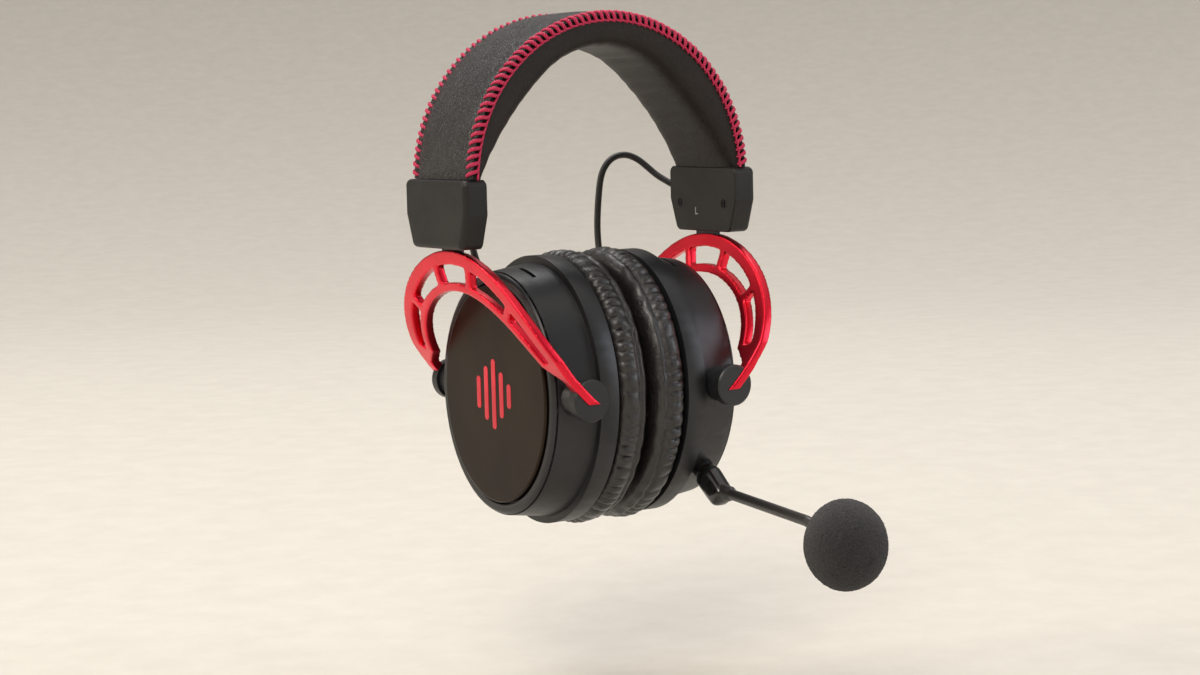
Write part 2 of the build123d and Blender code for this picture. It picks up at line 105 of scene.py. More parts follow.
# %% Grid to mesh
def surface(name, grid, wrap=(False, True), caps=(True, True), lengths=(1.0, 1.0)):
    """Closed mesh through points in millimetres, (rows, columns, 3) or (copies, rows, columns, 3).

    wrap: whether rows and columns close on themselves. caps: fans over the first and last row.
    lengths: real size in mm of a whole row and a whole column, for the UV map.
    """
    grid = np.asarray(grid, float)
    grid = grid[None] if grid.ndim == 3 else grid
    copies, rows, columns, _ = grid.shape
    i = np.arange(rows if wrap[0] else rows - 1)[:, None]
    j = np.arange(columns if wrap[1] else columns - 1)[None, :]
    i, j = (a.ravel() for a in np.broadcast_arrays(i, j))
    below, beside = (i + 1) % rows, (j + 1) % columns
    quads = np.stack([i * columns + j, i * columns + beside,
                      below * columns + beside, below * columns + j], -1)
    uv = np.stack([np.stack([j, i], -1), np.stack([j + 1, i], -1),
                   np.stack([j + 1, i + 1], -1), np.stack([j, i + 1], -1)], 1).astype(float)
    uv *= np.array(lengths) / [columns if wrap[1] else columns - 1, rows if wrap[0] else rows - 1]
    k = np.arange(columns)
    fans = [np.stack([np.full(columns, rows * columns), (k + 1) % columns, k], -1)] if caps[0] else []
    if caps[1]:
        last = (rows - 1) * columns
        fans.append(np.stack([np.full(columns, rows * columns + 1), last + k,
                              last + (k + 1) % columns], -1))
    fans = np.concatenate(fans) if fans else np.zeros((0, 3), int)
    points = np.concatenate([grid.reshape(copies, -1, 3), grid[:, 0].mean(1, keepdims=True),
                             grid[:, -1].mean(1, keepdims=True)], 1)
    a, b, c, d = (points[0][quads[:, n]] for n in range(4))
    e, f, g = (points[0][fans[:, n]] for n in range(3))
    volume = sum((np.cross(p, q) * r).sum() for p, q, r in ((a, b, c), (a, c, d), (e, f, g)))
    if volume < 0:
        quads, fans, uv = quads[:, ::-1], fans[:, ::-1], uv[:, ::-1]
    step = np.arange(copies)[:, None, None] * points.shape[1]
    all_quads, all_fans = (quads[None] + step).reshape(-1, 4), (fans[None] + step).reshape(-1, 3)
    mesh = bpy.data.meshes.new(name)
    mesh.from_pydata(points.reshape(-1, 3) * MM, [], all_quads.tolist() + all_fans.tolist())
    flat = np.concatenate([np.tile(uv.reshape(-1, 2), (copies, 1)), np.zeros((all_fans.size, 2))])
    mesh.uv_layers.new(name="mm").data.foreach_set("uv", flat.astype(np.float32).ravel())
    mesh.shade_smooth()
    mesh.set_sharp_from_angle(angle=math.radians(60))
    if not (caps[0] and caps[1]):
        clean = bmesh.new()
        clean.from_mesh(mesh)
        bmesh.ops.delete(clean, geom=[v for v in clean.verts if not v.link_faces], context="VERTS")
        clean.to_mesh(mesh)
        clean.free()
    made = bpy.data.objects.new(name, mesh)
    scene.collection.objects.link(made)
    print("%s: %d faces" % (name, len(mesh.polygons)))
    return made


def power(x, p):
    """Signed power: keeps the sign of x and raises its size to p, the heart of a superellipse."""
    return np.sign(x) * np.abs(x) ** p


def dress(piece, material, body=None, stands_for=()):
    """Gives a piece its material and its body, and hides the imported nodes it stands for."""
    piece.data.materials.clear()
    piece.data.materials.append(material)
    if body:
        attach(piece, body)
    if stands_for:
        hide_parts(*stands_for)
    return piece

# %% Tube along a line
def line_frame(centres, reference):
    """Unit tangent t of a line of points, with n = t x reference and b = t x n across it."""
    tangent = np.gradient(centres, axis=0)
    tangent /= np.linalg.norm(tangent, axis=1, keepdims=True)
    across = np.cross(tangent, reference)
    across /= np.linalg.norm(across, axis=1, keepdims=True)
    return tangent, across, np.cross(tangent, across)


def tube_grid(centres, radii, sides, reference):
    """Ring k is centre k + radius k * (cos a * n + sin a * b), for sides angles a round it."""
    _, across, down = line_frame(centres, reference)
    a = np.linspace(0, 2 * np.pi, sides, endpoint=False)[None, :, None]
    ring = np.cos(a) * across[:, None] + np.sin(a) * down[:, None]
    return centres[:, None] + np.broadcast_to(radii, len(centres))[:, None, None] * ring

# %% [markdown]
# ## The two ear cables
#
# A thin soft cable leaves each end cap at its rear corner, climbs over in a loop behind the ear and
# drops into the top of the cup, long enough to let the slider out. A cable is one smooth curve, so
# its centre line is a NURBS curve with the route's points as its control points, and the jacket is a
# tube whose rings sit on that curve. Each cable is two pieces that meet at the loop's far side: the
# upper one runs between headband and yoke, the lower one between yoke and cup.

# %% Cables
UPPER_ROUTE = [
    (59.1, 22.6, -54.54), (55.5, 28.8, -51.1), (52.0, 32.3, -46.6), (48.3, 34.0, -43.2),
    (43.3, 35.0, -41.4), (38.0, 35.6, -42.4), (34.0, 35.8, -46.0), (31.6, 35.6, -51.2),
    (30.7, 35.3, -57.0),
]
LOWER_ROUTE = [
    (30.7, 35.3, -57.0), (29.44, 34.88, -65.12), (28.8, 34.0, -73.5), (28.0, 31.8, -80.5),
    (28.0, 26.4, -86.6),
]
CABLE_WIDE = 2.6


def smooth_line(route):
    """Points in mm along a NURBS curve of order 3, with the route as its control points."""
    curve = bpy.data.curves.new("route", "CURVE")
    curve.dimensions = "3D"
    curve.resolution_u = 8
    spline = curve.splines.new("NURBS")
    spline.points.add(len(route) - 1)
    spline.points.foreach_set("co", np.column_stack([route, np.ones(len(route))]).ravel())
    spline.order_u = 3
    spline.use_endpoint_u = True
    holder = bpy.data.objects.new("route", curve)
    mesh = bpy.data.meshes.new_from_object(holder)
    points = np.zeros(len(mesh.vertices) * 3)
    mesh.vertices.foreach_get("co", points)
    bpy.data.objects.remove(holder)
    bpy.data.curves.remove(curve)
    return points.reshape(-1, 3)


cables = []
for side, sign in SIDES.items():
    flip = np.array([sign, 1.0, 1.0])
    for half, route, reference, exit_end in (("upper", UPPER_ROUTE, (0, 1, 0), 0),
                                             ("lower", LOWER_ROUTE, (1, 0, 0), -1)):
        line = smooth_line(route) * flip
        length = np.linalg.norm(np.diff(line, axis=0), axis=1).sum()
        cable = surface("%s_ear_cable_%s" % (side, half), tube_grid(line, CABLE_WIDE / 2, 20, reference),
                        lengths=(math.pi * CABLE_WIDE, length))
        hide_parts("%s_cable_%s" % (side, half))
        cables.append((cable, side, half, sign))
        print("%s: %.1f mm" % (cable.name, length))

# %% [markdown]
# ## Colours and nodes
#
# Colours are written as the sRGB hex values a paint chart would give. Shaders work in linear light,
# so one function turns hex to linear. A second small function adds a node with its settings and
# links, so that each material below reads as a short recipe.

# %% Colour and node helpers
def linear(code):
    """sRGB hex to linear: c / 12.92 up to 0.04045, and ((c + 0.055) / 1.055) ** 2.4 above it."""
    c = np.array([int(code[i:i + 2], 16) for i in (1, 3, 5)]) / 255
    return (*np.where(c <= 0.04045, c / 12.92, ((c + 0.055) / 1.055) ** 2.4).tolist(), 1.0)


def add(tree, kind, settings, inputs, out=0, into=None):
    """Adds a shader node and gives back its output `out`, linked into the socket `into` if there is one.

    settings are the node's own properties. inputs are plain values, or sockets to link.
    """
    node = tree.nodes.new("ShaderNode" + kind)
    for name, value in settings.items():
        setattr(node, name, value)
    for key, value in inputs.items():
        if isinstance(value, bpy.types.NodeSocket):
            tree.links.new(value, node.inputs[key])
        else:
            node.inputs[key].default_value = value
    if into is not None:
        tree.links.new(node.outputs[out], into)
    return node.outputs[out]


def material(name, **settings):
    """New material, its node tree and its shader's sockets, with the plain values set on them."""
    made = bpy.data.materials.new(name)
    made.use_nodes = True
    sockets = made.node_tree.nodes["Principled BSDF"].inputs
    for key, value in settings.items():
        sockets[key.replace("_", " ")].default_value = value
    return made, made.node_tree, sockets

# %% [markdown]
# ## Leatherette
#
# Leatherette is knitted cloth with a skin of polyurethane, embossed with a grain. On the band's top
# the grain is coarse, with cells about 0.9 mm across and fine creases where the band is bent, and the
# skin is nearly matt. The pad and cushions have a finer grain and a softer, shinier skin. The grain
# is a Voronoi cell pattern, whose cell edges are the valleys, over a slower noise for creases. A
# little sheen stands for the light that the worn skin scatters.

# %% Leatherette materials
def leatherette(name, dark, light, cell, depth, roughness, crease, crease_scale, **settings):
    """Embossed grain: distance to Voronoi cell edges, cells `cell` mm wide, over slow creases."""
    made, tree, skin = material(name, IOR=1.5, **settings)
    place = add(tree, "TexCoord", {}, {}, "Object")
    warp = add(tree, "TexNoise", {}, {"Vector": place, "Scale": 350 / cell, "Detail": 2.0}, "Color")
    bent = add(tree, "VectorMath", {"operation": "MULTIPLY_ADD"},
               {0: warp, 1: (cell * 0.0012,) * 3, 2: place})
    grain = add(tree, "TexVoronoi", {"feature": "DISTANCE_TO_EDGE"}, {"Vector": bent, "Scale": 1000 / cell})
    cells = add(tree, "MapRange", {}, {0: grain, 1: 0.0, 2: 0.22})
    folds = add(tree, "TexNoise", {}, {"Vector": place, "Scale": crease_scale, "Detail": 4.0,
                                       "Roughness": 0.6, "Distortion": 1.2})
    centred = add(tree, "MapRange", {}, {0: folds, 1: 0.3, 2: 0.7, 3: -1.0, 4: 1.0})
    veins = add(tree, "Math", {"operation": "ABSOLUTE"}, {0: centred})
    lines = add(tree, "MapRange", {}, {0: veins, 1: 0.0, 2: 0.12})
    worn = add(tree, "TexNoise", {}, {"Vector": place, "Scale": 60.0, "Detail": 3.0})
    rubbed = add(tree, "Math", {"operation": "MULTIPLY"}, {0: cells, 1: worn})
    amount = add(tree, "MapRange", {}, {0: rubbed, 1: 0.1, 2: 0.6})
    add(tree, "Mix", {"data_type": "RGBA"}, {0: amount, 6: linear(dark), 7: linear(light)},
        2, skin["Base Color"])
    add(tree, "Math", {"operation": "MULTIPLY_ADD"}, {0: cells, 1: -0.1, 2: roughness + 0.08},
        0, skin["Roughness"])
    low = add(tree, "Bump", {}, {"Height": lines, "Distance": crease, "Strength": 1.0})
    add(tree, "Bump", {}, {"Height": cells, "Distance": depth, "Strength": 1.0, "Normal": low},
        0, skin["Normal"])
    return made


grained = leatherette("embossed leatherette, band top", "#111011", "#302E2F", 0.9, 0.00014, 0.36,
                      0.00030, 110.0, Sheen_Weight=0.02, Sheen_Roughness=0.4, Specular_IOR_Level=0.5)
smooth_skin = leatherette("fine leatherette, pad", "#110D0A", "#241B15", 0.6, 0.00004, 0.5,
                          0.00006, 60.0, Sheen_Weight=0.02, Sheen_Roughness=0.4, Specular_IOR_Level=0.3)
cushion_skin = leatherette("soft leatherette, ear cushions", "#141212", "#242020", 0.55, 0.00003, 0.33,
                           0.00008, 70.0, Coat_Weight=0.3, Coat_Roughness=0.2, Specular_IOR_Level=0.5)

# %% [markdown]
# ## Moulded plastics and metals
#
# The caps and cups are ABS moulded in a spark-eroded tool, which leaves a fine even matt texture. The
# real texture's grain is about 0.05 mm; here it is drawn at 0.25 mm so that it still shows. The
# microphone's plug and the ring round the end plate are polished in the tool. The yokes are forged
# aluminium, bead-blasted and dyed red by anodising, so the colour belongs to a metal's reflection and
# a thin clear oxide lies on it. The end plate is painted aluminium with a faint circular satin
# brushing, and it takes a warm tint from its lacquer.

# %% Plastics and metals
def moulded(name, dark, light, roughness, grain, depth, **settings):
    """Moulded plastic: fine noise for the tool's texture (grain mm wide), slow noise for handling marks."""
    made, tree, skin = material(name, **{"IOR": 1.53, **settings})
    place = add(tree, "TexCoord", {}, {}, "Object")
    fine = add(tree, "TexNoise", {}, {"Vector": place, "Scale": 1000 / grain, "Detail": 2.0})
    slow = add(tree, "TexNoise", {}, {"Vector": place, "Scale": 45.0, "Detail": 4.0, "Roughness": 0.65})
    amount = add(tree, "MapRange", {}, {0: slow, 1: 0.35, 2: 0.7})
    add(tree, "Mix", {"data_type": "RGBA"}, {0: amount, 6: linear(dark), 7: linear(light)},
        2, skin["Base Color"])
    add(tree, "MapRange", {}, {0: slow, 1: 0.3, 2: 0.75, 3: roughness + 0.05, 4: roughness - 0.06},
        0, skin["Roughness"])
    add(tree, "Bump", {}, {"Height": fine, "Distance": depth, "Strength": 1.0}, 0, skin["Normal"])
    return made


matt_abs = moulded("spark-textured ABS, matt black", "#131416", "#1C1D20", 0.4, 0.25, 0.00002,
                  Specular_IOR_Level=0.45)
cap_abs = moulded("spark-textured ABS, end caps", "#151413", "#1E1D1B", 0.5, 0.25, 0.000025,
                 Specular_IOR_Level=0.3)
gloss_abs = moulded("polished ABS, gloss black", "#0C0C0D", "#131314", 0.16, 0.6, 0.000004,
                    Coat_Weight=0.3, Coat_Roughness=0.08)
acetal = moulded("natural acetal", "#D8D4CA", "#E4E1D9", 0.38, 0.4, 0.00001)
circuit = moulded("solder mask on glass laminate", "#0D3B22", "#14502F", 0.35, 0.5, 0.00001)
film = moulded("polyester speaker film", "#8B8378", "#A39A8D", 0.25, 0.8, 0.00001)
boom_skin = moulded("satin rubber sleeve, boom", "#12100F", "#1C1816", 0.4, 0.3, 0.00002,
                    Sheen_Weight=0.1)
mark_ink = moulded("pad-printed ink, pale grey", "#8F8E8C", "#A5A4A2", 0.5, 0.3, 0.000005)
red_ink = moulded("pad-printed ink, red", "#B80F25", "#D81B33", 0.36, 0.4, 0.00001)


def metal(name, dark, light, roughness, grain, depth, **settings):
    """Bare, dyed or painted metal: blasted or turned surface as fine noise, with slow tint and shine."""
    made, tree, skin = material(name, Metallic=1.0, **settings)
    place = add(tree, "TexCoord", {}, {}, "Object")
    fine = add(tree, "TexNoise", {}, {"Vector": place, "Scale": 1000 / grain, "Detail": 1.0})
    slow = add(tree, "TexNoise", {}, {"Vector": place, "Scale": 70.0, "Detail": 5.0, "Roughness": 0.6})
    amount = add(tree, "MapRange", {}, {0: slow, 1: 0.3, 2: 0.7})
    add(tree, "Mix", {"data_type": "RGBA"}, {0: amount, 6: linear(dark), 7: linear(light)},
        2, skin["Base Color"])
    add(tree, "MapRange", {}, {0: slow, 1: 0.3, 2: 0.7, 3: roughness + 0.04, 4: roughness - 0.04},
        0, skin["Roughness"])
    add(tree, "Bump", {}, {"Height": fine, "Distance": depth, "Strength": 1.0}, 0, skin["Normal"])
    return made


red_metal = metal("anodised aluminium, red", "#D80F2B", "#F01F3A", 0.34, 0.3, 0.000012,
                  Coat_Weight=0.35, Coat_Roughness=0.2)
black_screw = metal("black oxide screw steel", "#29292B", "#39393C", 0.35, 0.4, 0.00001)
spring = metal("blued spring steel", "#6D7177", "#83888E", 0.28, 0.5, 0.00001)
strip_steel = metal("blackened spring steel, sliders", "#303238", "#43464D", 0.3, 0.5, 0.00001)
magnet = metal("nickel-plated magnet steel", "#A9A49B", "#BDB8AF", 0.22, 0.5, 0.000005)
gold = metal("gold-plated contact", "#D9A94A", "#E8BC62", 0.2, 0.5, 0.000003)


def brushed_plate(name, dark, light):
    """Painted plate with a circular satin: noise of the distance from the plate's middle."""
    made, tree, skin = material(name, Metallic=0.85, Anisotropic=0.3)
    place = add(tree, "TexCoord", {}, {}, "Object")
    centred = add(tree, "Mapping", {}, {"Vector": place, "Location": (0.0, 0.0, 0.126)})
    flat = add(tree, "VectorMath", {"operation": "MULTIPLY"}, {0: centred, 1: (0.0, 1.0, 1.0)})
    radius = add(tree, "VectorMath", {"operation": "LENGTH"}, {0: flat}, "Value")
    rings = add(tree, "TexNoise", {"noise_dimensions": "1D"}, {"W": radius, "Scale": 2200.0, "Detail": 3.0})
    slow = add(tree, "TexNoise", {}, {"Vector": place, "Scale": 30.0, "Detail": 3.0})
    amount = add(tree, "MapRange", {}, {0: slow, 1: 0.3, 2: 0.7})
    add(tree, "Mix", {"data_type": "RGBA"}, {0: amount, 6: linear(dark), 7: linear(light)},
        2, skin["Base Color"])
    add(tree, "MapRange", {}, {0: rings, 1: 0.3, 2: 0.7, 3: 0.36, 4: 0.28}, 0, skin["Roughness"])
    add(tree, "Bump", {}, {"Height": rings, "Distance": 0.000004, "Strength": 1.0}, 0, skin["Normal"])
    return made


plate_paint = brushed_plate("satin lacquer on aluminium, warm black", "#1F1813", "#30261C")

# %% [markdown]
# ## Thread, cable jacket, foam and scrim
#
# The edge thread is bonded polyester of three plies: its twist is a stripe that climbs round the
# thread, so it follows the piece's own UV map, which is in millimetres; the stripe's dark grooves
# between the plies are painted shade. The cable jacket is soft TPE, matt with a faint bloom.
# Open-cell foam is a froth whose bubbles have burst into each other: pores about 0.6 mm wide, with
# painted shade inside them and painted highlights on the pale struts between them. The scrim is a
# plain weave with threads about 0.5 mm apart.

# %% Thread, jacket, foam and scrim
def twisted_thread(name, dark, light):
    """Three-ply thread: a sine of the angle round it plus the length along it, one turn in 2.4 mm, with
    painted shade in the grooves between the strands.
    """
    made, tree, skin = material(name, IOR=1.5, Roughness=0.55, Sheen_Weight=0.5,
                                Sheen_Roughness=0.4, Sheen_Tint=linear("#FF6A8C"))
    place = add(tree, "UVMap", {"uv_map": "mm"}, {})
    parts = add(tree, "SeparateXYZ", {}, {0: place}).node.outputs
    turn = add(tree, "Math", {"operation": "MULTIPLY"}, {0: parts[0], 1: 3 * 2 * math.pi / 3.0})
    climb = add(tree, "Math", {"operation": "MULTIPLY_ADD"},
                {0: parts[1], 1: 3 * 2 * math.pi / 2.4, 2: turn})
    ridge = add(tree, "Math", {"operation": "SINE"}, {0: climb})
    plies_and_painted_groove_shade = add(tree, "MapRange", {}, {0: ridge, 1: -1.0, 2: 1.0})
    # The dark colour in the grooves of the twist is painted shade.
    add(tree, "Mix", {"data_type": "RGBA"}, {0: plies_and_painted_groove_shade, 6: linear(dark), 7: linear(light)},
        2, skin["Base Color"])
    add(tree, "Bump", {}, {"Height": plies_and_painted_groove_shade, "Distance": 0.00012, "Strength": 1.0}, 0, skin["Normal"])
    return made


thread = twisted_thread("bonded polyester thread, red", "#820530", "#D61C53")
jacket = moulded("soft TPE cable jacket", "#0E0E0E", "#161616", 0.5, 0.3, 0.000015, Sheen_Weight=0.15)


def open_cell(name, dark, light, pore, depth):
    """Open-cell foam: the product of two sizes of Voronoi distance, painted shade in the pores and painted
    highlights on the cell walls, with pale specks.
    """
    made, tree, skin = material(name, IOR=1.45, Roughness=0.95, Sheen_Weight=0.12, Sheen_Roughness=0.6)
    place = add(tree, "TexCoord", {}, {}, "Object")
    big = add(tree, "TexVoronoi", {}, {"Vector": place, "Scale": 1000 / pore})
    small = add(tree, "TexVoronoi", {}, {"Vector": place, "Scale": 2100 / pore})
    froth = add(tree, "Math", {"operation": "MULTIPLY"}, {0: big, 1: small})
    struts_and_painted_pore_shade = add(tree, "MapRange", {}, {0: froth, 1: 0.03, 2: 0.4})
    dust = add(tree, "TexNoise", {}, {"Vector": place, "Scale": 900.0, "Detail": 1.0})
    specks = add(tree, "MapRange", {}, {0: dust, 1: 0.35, 2: 0.65, 3: 0.3, 4: 1.0})
    amount = add(tree, "Math", {"operation": "MULTIPLY"}, {0: struts_and_painted_pore_shade, 1: specks})
    # Dark colour in the pores is painted shade and pale colour on the cell walls a painted highlight; the
    # specks are the foam's own tone.
    add(tree, "Mix", {"data_type": "RGBA"}, {0: amount, 6: linear(dark), 7: linear(light)},
        2, skin["Base Color"])
    add(tree, "Bump", {}, {"Height": struts_and_painted_pore_shade, "Distance": depth, "Strength": 1.0}, 0, skin["Normal"])
    return made


foam_black = open_cell("open-cell polyurethane foam, charcoal", "#0F0E10", "#2C2A2D", 0.55, 0.0002)


def plain_weave(name, dark, light, pitch):
    """Plain weave: the product of two sine ridges, crossing at right angles, pitch mm apart."""
    made, tree, skin = material(name, IOR=1.5, Roughness=0.85, Sheen_Weight=0.3)
    place = add(tree, "TexCoord", {}, {}, "Object")
    parts = add(tree, "SeparateXYZ", {}, {0: place}).node.outputs
    turns = [add(tree, "Math", {"operation": "MULTIPLY"}, {0: parts[n], 1: 2000 * math.pi / pitch})
             for n in (1, 2)]
    warp, weft = [add(tree, "Math", {"operation": "SINE"}, {0: turn}) for turn in turns]
    crossing = add(tree, "Math", {"operation": "MULTIPLY"}, {0: warp, 1: weft})
    weave = add(tree, "MapRange", {}, {0: crossing, 1: -1.0, 2: 1.0})
    add(tree, "Mix", {"data_type": "RGBA"}, {0: weave, 6: linear(dark), 7: linear(light)},
        2, skin["Base Color"])
    add(tree, "Bump", {}, {"Height": weave, "Distance": 0.00015, "Strength": 1.0}, 0, skin["Normal"])
    return made


scrim_cloth = plain_weave("knitted speaker scrim", "#0B0B0C", "#1D1D1F", 1.0)

# %% [markdown]
# ## Light
#
# A product table is lit by large soft boxes: a broad key high on the left, a cooler fill on the
# right, a strip behind that draws a bright line along the top edges of black shapes, and pale
# surroundings for the gloss to mirror. Black leather is drawn by its reflections, not by its colour.

# %% Studio
def soft_box(name, place, look, size, power_watts, colour):
    """Area light at a place, looking at a point, all in metres."""
    data = bpy.data.lights.new(name, "AREA")
    data.shape, data.size, data.size_y = "RECTANGLE", size[0], size[1]
    data.energy, data.color = power_watts, linear(colour)[:3]
    lamp = bpy.data.objects.new(name, data)
    scene.collection.objects.link(lamp)
    lamp.location = place
    lamp.visible_camera = False
    lamp.rotation_euler = (Vector(look) - Vector(place)).to_track_quat("-Z", "Y").to_euler()


middle = (0.0, 0.0, -0.1)
soft_box("key", (-1.84, -1.61, 2.2), middle, (1.6, 1.6), 69.0, "#FFF6EC")
soft_box("fill", (2.3, -1.84, 0.9), middle, (1.15, 1.6), 21.0, "#EEF4FF")
soft_box("top", (0.23, 0.8, 2.4), middle, (2.0, 1.15), 48.0, "#FFFFFF")
soft_box("strip", (-2.3, 1.38, 1.2), middle, (0.6, 1.4), 28.0, "#FFF2E2")
soft_box("ceiling", (0.3, 0.6, 3.4), (0.3, 0.6, -0.3), (6.0, 6.0), 70.0, "#FFFAF4")
world = bpy.data.worlds.new("pale room")
scene.world = world
world.use_nodes = True
world.node_tree.nodes["Background"].inputs["Color"].default_value = linear("#CFCECB")
world.node_tree.nodes["Background"].inputs["Strength"].default_value = 0.38
scene.view_settings.view_transform = "Standard"

# The floor is a wide shallow bowl: flat out to 1.6 m, then height grows with the square of the radius.
FLOOR_Z = -240.0
reach = 7000 * np.linspace(0.0001, 1, 70)[:, None] ** 1.3
round_floor = np.linspace(0, 2 * np.pi, 97)[:-1][None, :]
rim = 3200 * (np.clip(reach - 1600, 0, None) / 5400) ** 2
floor = surface("floor", np.stack(np.broadcast_arrays(
    reach * np.cos(round_floor), reach * np.sin(round_floor), FLOOR_Z + rim), -1), caps=(True, False))
floor.data.flip_normals()
floor_paint = moulded("matt pale paint", "#C4BFB6", "#CAC5BC", 0.8, 3.0, 0.00002)
floor.data.materials.append(floor_paint)

# %% [markdown]
# ## Headband: pad and top panel
#
# A spring steel strip runs inside the band. Foam is wrapped in smooth leatherette from below, and a
# separate top panel of grained leatherette is whip-stitched to it along both edges. The section of
# the wrap is a rounded trapezoid that grows thinner from the crown to the haunches, so it is a
# superellipse whose inner radius follows the pad's underside. The underside is a tight arc at the
# crown and a flatter one on each haunch, found for every direction by where a ray from the arch's
# centre meets that circle.

# %% Pad
ARCH_CENTRE = -48.7      # height of the arch's centre
ARCH_TOP = 61.3
PAD_TOP = 59.8
BAND_HALF = 20.2
LEG_TURN = math.radians(87.6)
CROWN_CIRCLE = (0.0, -38.0, 38.0)
HAUNCH_CIRCLE = (-74.94, -121.23, 150.0)


def ray_reach(angle, circle):
    """Distance from the arch's centre to a circle, d.k + sqrt((d.k)^2 - k.k + r^2), with d = (sin, cos)."""
    k = np.array([circle[0], circle[1] - ARCH_CENTRE])
    along = np.sin(angle) * k[0] + np.cos(angle) * k[1]
    return along + np.sqrt(along ** 2 - k @ k + circle[2] ** 2)


def pad_reach(angle):
    """Radius of the pad's underside for an angle from straight up, the same on both sides."""
    a = np.abs(angle)
    return np.where(a < math.radians(33.15), ray_reach(a, CROWN_CIRCLE), ray_reach(a, HAUNCH_CIRCLE))


def arch_points(angle, radius, across):
    """Point at an angle and radius in the arch's plane, and a distance across the band."""
    return np.stack(np.broadcast_arrays(radius * np.sin(angle), across,
                                        ARCH_CENTRE + radius * np.cos(angle)), -1)


def ripple(a, b, seed, size=6):
    """Smooth irregular field between about -1 and 1: a sum of seeded waves in two parameters."""
    rng = np.random.default_rng(seed)
    total = 0.0
    for _ in range(size):
        fa, fb, p = rng.uniform(0.4, 1.0), rng.uniform(-1.0, 1.0), rng.uniform(0, 2 * np.pi)
        total = total + np.sin(a * fa + b * fb + p)
    return total / size


# The section's angle t runs from one side over the top, sin t = 1, and back under it, sin t = -1. The
# powers give it a flat top with tight corners and a rounder underside; the walls lean in by 13% below.
theta = np.linspace(-LEG_TURN, LEG_TURN, 241)[:, None]
t = np.linspace(0, 2 * np.pi, 97)[:-1][None, :]
up_down = np.where(np.sin(t) > 0, power(np.sin(t), 0.2), power(np.sin(t), 0.5))
side_way = np.abs(np.cos(t)) ** np.where(np.sin(t) > 0, 0.16, 0.34) * np.sign(np.cos(t))
under = pad_reach(theta)
half_deep = (PAD_TOP + 0.4 - under) / 2
pad_half = (BAND_HALF - 0.35) * (1 - 0.13 * ((1 - up_down) / 2) ** 3)
radius = (PAD_TOP + 0.4 + under) / 2 + half_deep * up_down
soft = 0.22 * ripple(theta * 60, np.cos(t) * 5, 3) * np.clip(1 - up_down, 0, 1)
pad = surface("headband_pad", arch_points(theta, radius + soft, pad_half * side_way),
              lengths=(100, 180))
dress(pad, smooth_skin, "headband", ("headband_sleeve", "headband_foam"))

# %% Top panel
# A sheet 1.5 mm thick that crowns by 0.8 mm in the middle and is held down in a groove 17.3 mm out,
# where the stitches come through.
side_way = power(np.cos(t), 0.22)
across = (BAND_HALF - 0.1) * side_way
crown = 0.8 * np.cos(np.pi * across / (2 * BAND_HALF)) ** 0.8
held = 0.45 * np.exp(-((np.abs(across) - 17.3) / 0.9) ** 2)
top_face = np.clip(np.sin(t), 0, 1) ** 0.3
radius = PAD_TOP + 0.75 + 0.75 * power(np.sin(t), 0.35) + top_face * (
    crown - held + 0.07 * ripple(theta * 45, across * 0.35, 5))
panel = surface("headband_top_panel", arch_points(theta, radius, across), lengths=(90, 188))
dress(panel, grained, "headband", ("headband_cover",))

# %% [markdown]
# ## Whip stitches
#
# The two skins are joined by a thick red thread that goes over the edge again and again. Each stitch
# comes up through the top panel, crosses its edge at a slant and goes into the side wall. One stitch
# is a short tube along a bent line; all of them are made at once by adding each one's angle along
# the arch to the same formula.

# %% Stitches
PITCH = 2.9
count = int(2 * LEG_TURN * ARCH_TOP / PITCH)
# The stitch's own line: along the band, across it and out from the arch's centre, all in mm.
knots = np.array([[-1.2, 16.7, 60.6], [-1.1, 17.1, 61.35], [-0.75, 18.3, 61.62], [-0.2, 19.7, 61.55],
                  [0.15, 20.42, 61.0], [0.45, 20.6, 60.1], [0.9, 20.5, 58.9], [1.15, 20.2, 58.1],
                  [1.2, 19.2, 57.8]])
fine = np.linspace(0, len(knots) - 1, 19)
knot_line = np.stack([np.interp(fine, np.arange(len(knots)), knots[:, n]) for n in range(3)], -1)
knot_line[1:-1] = (knot_line[:-2] + 2 * knot_line[1:-1] + knot_line[2:]) / 4
ends = np.sin(np.pi * np.clip(np.linspace(-0.02, 1.02, 19), 0.12, 0.88)) ** 0.3
stitch = tube_grid(knot_line, 0.55 * ends, 10, (1, 0, 0))
# A pulled thread lies flat: it is spread to 1.5 mm along the band and stays 1.1 mm thick.
stitch[..., 0] = knot_line[:, None, 0] + 1.4 * (stitch[..., 0] - knot_line[:, None, 0])
rng = np.random.default_rng(11)
starts = (np.arange(count) - (count - 1) / 2) * PITCH + rng.normal(0, 0.10, count)
rows = []
for edge in (-1.0, 1.0):
    along = (starts[:, None, None] + stitch[None, ..., 0]) / ARCH_TOP
    out = stitch[None, ..., 2] + rng.normal(0, 0.05, count)[:, None, None]
    rows.append(arch_points(along, out, edge * stitch[None, ..., 1]))
for name, row in zip(("rear", "front"), (rows[1], rows[0])):
    stitches = surface("edge_stitches_" + name, row, lengths=(3.9, 8.0))
    dress(stitches, thread, "headband", ("edge_stitching",) if name == "front" else ())
print("%d stitches on each edge" % count)

# The thread also runs along each side wall from hole to hole, dipping a little at every stitch.
theta = np.linspace(-LEG_TURN, LEG_TURN, 561)
wave = np.cos(2 * np.pi * theta * ARCH_TOP / PITCH)
for name, edge in (("rear", 1.0), ("front", -1.0)):
    line = arch_points(theta, 58.35 + 0.12 * wave, edge * (20.33 + 0.14 * wave))
    run = surface("edge_running_thread_" + name, tube_grid(line, 0.42, 8, (0, 1, 0)), lengths=(2.6, 180))
    dress(run, thread, "headband")

